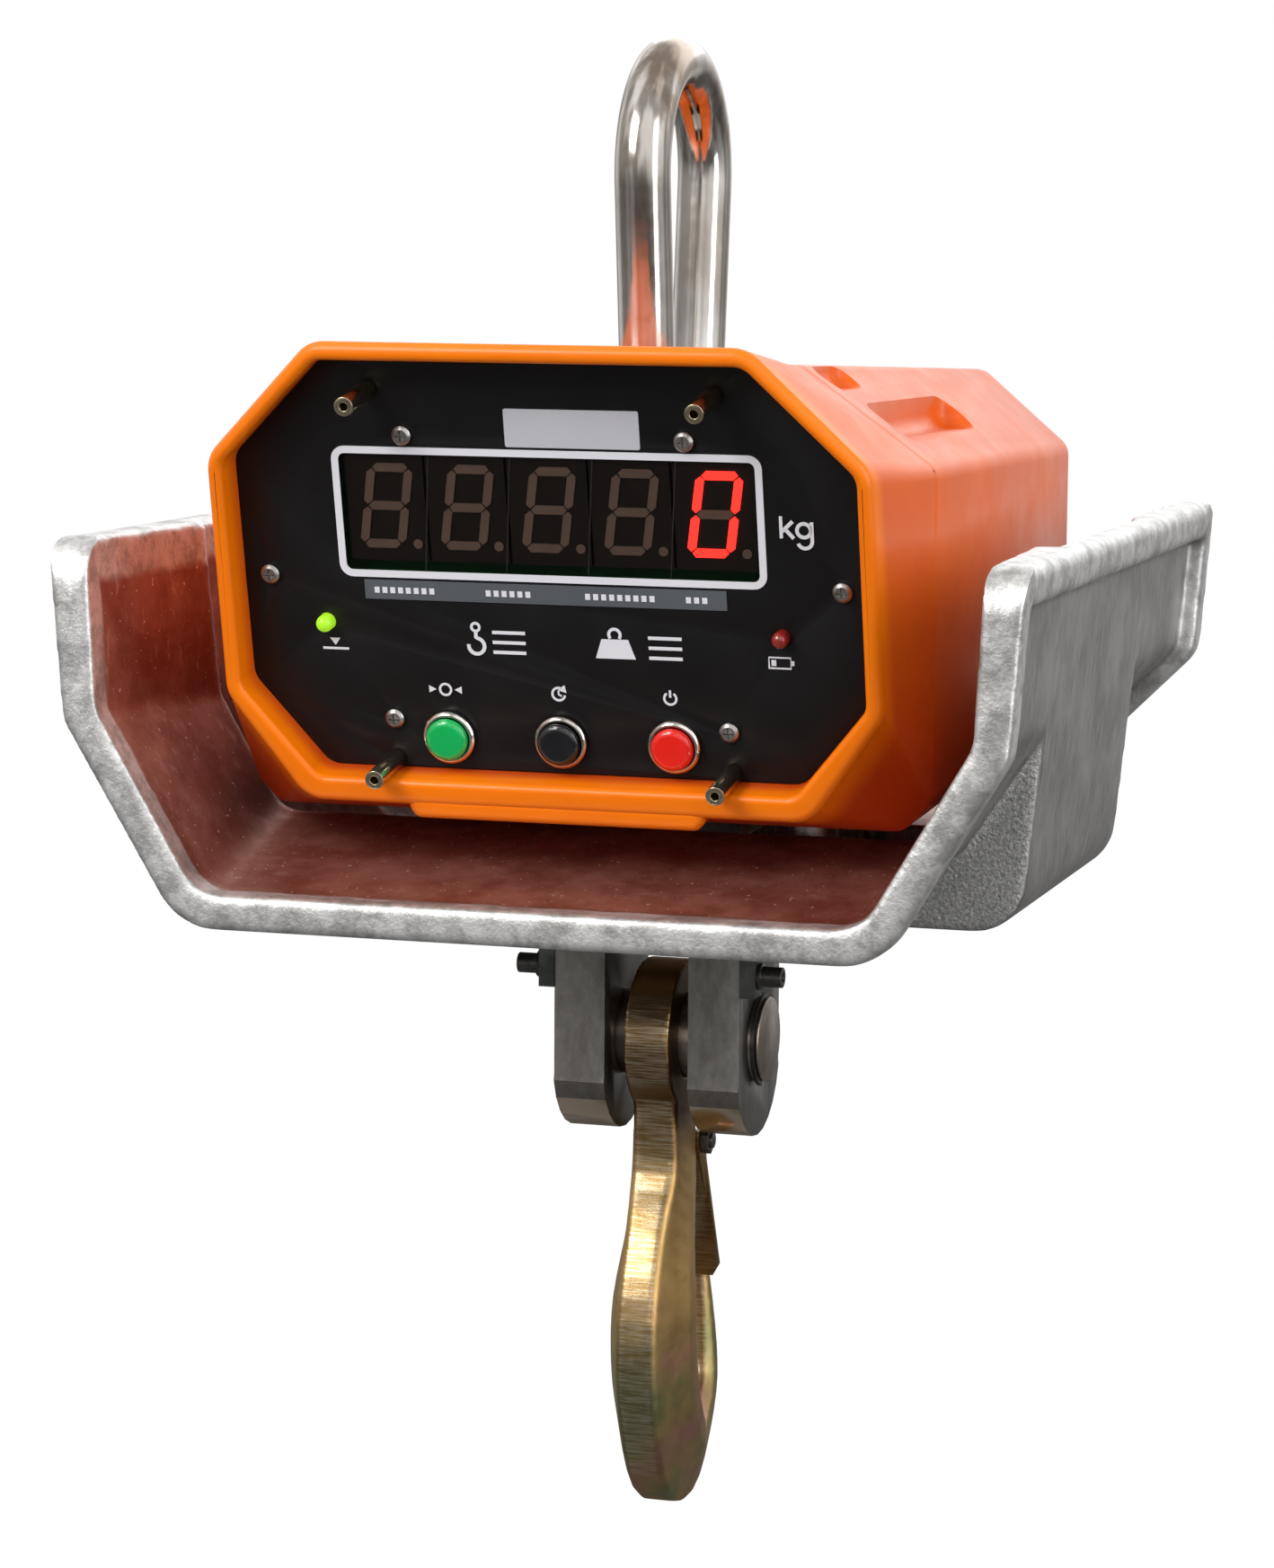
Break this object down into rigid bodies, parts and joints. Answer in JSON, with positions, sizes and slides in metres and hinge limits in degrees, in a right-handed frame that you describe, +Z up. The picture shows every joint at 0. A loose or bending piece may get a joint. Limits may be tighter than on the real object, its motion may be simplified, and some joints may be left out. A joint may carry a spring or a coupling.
{
  "type": "crane scale",
  "caption": "Hanging crane scale: a tilted digital display housing inside a cast guard, between a chromed shackle and a latched load hook.",
  "frame": {"origin": "seat of the shackle bow on the load axis, where the crane hook carries the scale", "axes": "+Z up along the load axis, -Y towards the side that carries the display, +X to the right of a person reading it"},
  "size_m": [0.289, 0.3051, 0.4644],
  "materials": {
    "orange_paint": "glossy orange moulded shell",
    "gasket_rubber": "matt",
    "screw_steel": "bright zinc",
    "panel_film": "smooth black overlay",
    "white_print": "printed",
    "window": "tinted window",
    "module_black": "matt",
    "segment_off": "milky grey",
    "segment_on": "lit red",
    "circuit_board": "solder mask",
    "grey_print": "printed",
    "plate_silver": "satin foil",
    "button_green": "glossy",
    "button_black": "glossy",
    "button_red": "glossy",
    "chrome": "polished",
    "led_green": "lit",
    "led_red": "unlit",
    "brass_plated": "nickel on brass",
    "cast_aluminium": "sand cast, ground and brushed",
    "black_steel": "blackened",
    "bracket_steel": "dull grey green",
    "shackle_chrome": "polished",
    "spacer_steel": "turned",
    "cell_nickel": "nickel plated",
    "lead_sheath": "satin",
    "battery_case": "matt",
    "tray_plastic": "matt",
    "clevis_steel": "milled",
    "pin_steel": "turned",
    "yellow_zinc": "yellow passivated zinc",
    "latch_zinc": "yellow passivated zinc",
    "spring_steel": "drawn"
  },
  "bodies": {
    "shackle_body": {"shackle": "shackle_chrome", "shackle_pin": "spacer_steel", "shackle_nut": "spacer_steel", "pin_spacers": "spacer_steel"},
    "scale_body": {"front_housing": "orange_paint", "housing_gasket": "gasket_rubber", "rear_housing": "orange_paint", "battery_cover": "orange_paint", "battery_cover_screws": "screw_steel", "pocket_screws": "screw_steel", "front_panel": "panel_film", "panel_screws": "screw_steel", "window_frame": "white_print", "display_lens": "window", "digit_1": "module_black", "digit_2": "module_black", "digit_3": "module_black", "digit_4": "module_black", "digit_5": "module_black", "unlit_segments": "segment_off", "lit_segments": "segment_on", "display_board": "circuit_board", "board_pillars": "brass_plated", "standoff_nuts": "screw_steel", "rating_strip": "grey_print", "maker_plate": "plate_silver", "zero_button_holder": "chrome", "recall_button_holder": "chrome", "power_button_holder": "chrome", "stable_led": "led_green", "battery_led": "led_red", "standoffs": "brass_plated", "guard": "cast_aluminium", "guard_bolts": "black_steel", "guard_nuts": "screw_steel", "guard_spacers": "spacer_steel", "guard_brackets": "bracket_steel", "bracket_screws": "black_steel", "load_cell": "cell_nickel", "load_cell_lead": "lead_sheath", "main_board": "circuit_board", "board_posts": "brass_plated", "battery": "battery_case", "battery_tray": "tray_plastic", "charge_socket": "module_black", "clevis": "clevis_steel", "clevis_nut": "spacer_steel", "hook_pin": "pin_steel", "hook_pin_ring": "black_steel"},
    "hook_body": {"hook": "yellow_zinc", "latch_bolt": "black_steel", "latch_nut": "black_steel"},
    "latch_body": {"latch": "latch_zinc", "latch_spring": "spring_steel"},
    "zero_key": {"zero_button": "button_green"},
    "recall_key": {"recall_button": "button_black"},
    "power_key": {"power_button": "button_red"}
  },
  "joints": [
    {"name": "scale_swing", "type": "hinge", "parent": "shackle_body", "child": "scale_body", "pos_m": [0, 0, -0.108], "axis": [0, 1, 0], "range_deg": [-14, 14]},
    {"name": "hook_swing", "type": "hinge", "parent": "scale_body", "child": "hook_body", "pos_m": [0, 0, -0.2944], "axis": [1, 0, 0], "range_deg": [-60, 60]},
    {"name": "latch_turn", "type": "hinge", "parent": "hook_body", "child": "latch_body", "pos_m": [0, 0.0145, -0.3313], "axis": [-1, 0, 0], "range_deg": [0, 27], "stiffness_Nm_per_rad": 0.03, "springref_deg": -34.38},
    {"name": "zero_press", "type": "slide", "parent": "scale_body", "child": "zero_key", "axis": [0, 0.9755, 0.2198], "range_m": [0, 0.002], "stiffness_N_per_m": 400, "springref_m": -0.001},
    {"name": "recall_press", "type": "slide", "parent": "scale_body", "child": "recall_key", "axis": [0, 0.9755, 0.2198], "range_m": [0, 0.002], "stiffness_N_per_m": 400, "springref_m": -0.001},
    {"name": "power_press", "type": "slide", "parent": "scale_body", "child": "power_key", "axis": [0, 0.9755, 0.2198], "range_m": [0, 0.002], "stiffness_N_per_m": 400, "springref_m": -0.001}
  ]
}
